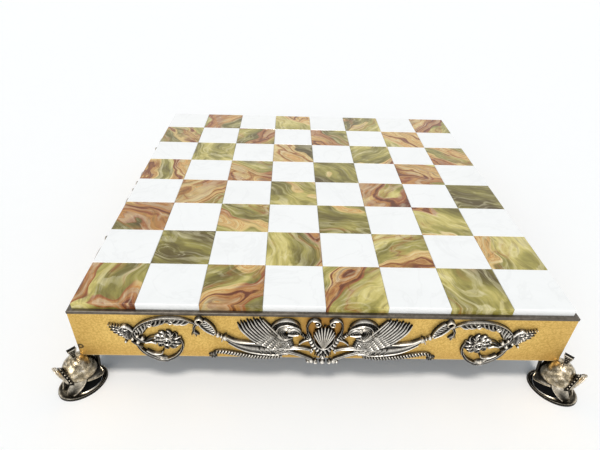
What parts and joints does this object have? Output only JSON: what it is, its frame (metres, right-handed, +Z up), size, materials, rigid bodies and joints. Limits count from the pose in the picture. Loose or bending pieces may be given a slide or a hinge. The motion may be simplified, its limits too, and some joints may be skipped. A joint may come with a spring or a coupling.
{
  "type": "chess board",
  "caption": "Raised chess board of green onyx and white marble squares in a gilt frame with silvered relief castings, standing on helmet-shaped feet.",
  "frame": {"origin": "the middle of the board, level with the surface that its feet stand on", "axes": "+Z up through the playing surface, +X to the right and +Y away from the player at the front side"},
  "size_m": [0.3964, 0.3964, 0.0789],
  "materials": {
    "onyx": "polished",
    "marble": "polished",
    "timber": "plain",
    "base_paint": "painted matt black",
    "steel": "plain",
    "gilt": "satin gilt",
    "pewter": "satin",
    "silvered": "antique silver",
    "felt": "black felt"
  },
  "bodies": {
    "root": {"onyx_squares_rank_1": "onyx", "marble_squares_rank_1": "marble", "onyx_squares_rank_2": "onyx", "marble_squares_rank_2": "marble", "onyx_squares_rank_3": "onyx", "marble_squares_rank_3": "marble", "onyx_squares_rank_4": "onyx", "marble_squares_rank_4": "marble", "onyx_squares_rank_5": "onyx", "marble_squares_rank_5": "marble", "onyx_squares_rank_6": "onyx", "marble_squares_rank_6": "marble", "onyx_squares_rank_7": "onyx", "marble_squares_rank_7": "marble", "onyx_squares_rank_8": "onyx", "marble_squares_rank_8": "marble", "bed_board": "timber", "base_board": "base_paint", "foot_screws": "steel", "frame_wall_front": "gilt", "rim_front": "pewter", "front_scroll_right_hand": "silvered", "front_scroll_left_hand": "silvered", "front_griffins_and_shell": "silvered", "frame_wall_right": "gilt", "rim_right": "pewter", "right_scroll_right_hand": "silvered", "right_scroll_left_hand": "silvered", "right_griffins_and_shell": "silvered", "frame_wall_back": "gilt", "rim_back": "pewter", "back_scroll_right_hand": "silvered", "back_scroll_left_hand": "silvered", "back_griffins_and_shell": "silvered", "frame_wall_left": "gilt", "rim_left": "pewter", "left_scroll_right_hand": "silvered", "left_scroll_left_hand": "silvered", "left_griffins_and_shell": "silvered", "corner_block_front_right": "timber", "helmet_front_right": "silvered", "collar_front_right": "silvered", "crest_socket_front_right": "silvered", "felt_pad_front_right": "felt", "corner_block_back_right": "timber", "helmet_back_right": "silvered", "collar_back_right": "silvered", "crest_socket_back_right": "silvered", "felt_pad_back_right": "felt", "corner_block_back_left": "timber", "helmet_back_left": "silvered", "collar_back_left": "silvered", "crest_socket_back_left": "silvered", "felt_pad_back_left": "felt", "corner_block_front_left": "timber", "helmet_front_left": "silvered", "collar_front_left": "silvered", "crest_socket_front_left": "silvered", "felt_pad_front_left": "felt"}
  },
  "joints": []
}
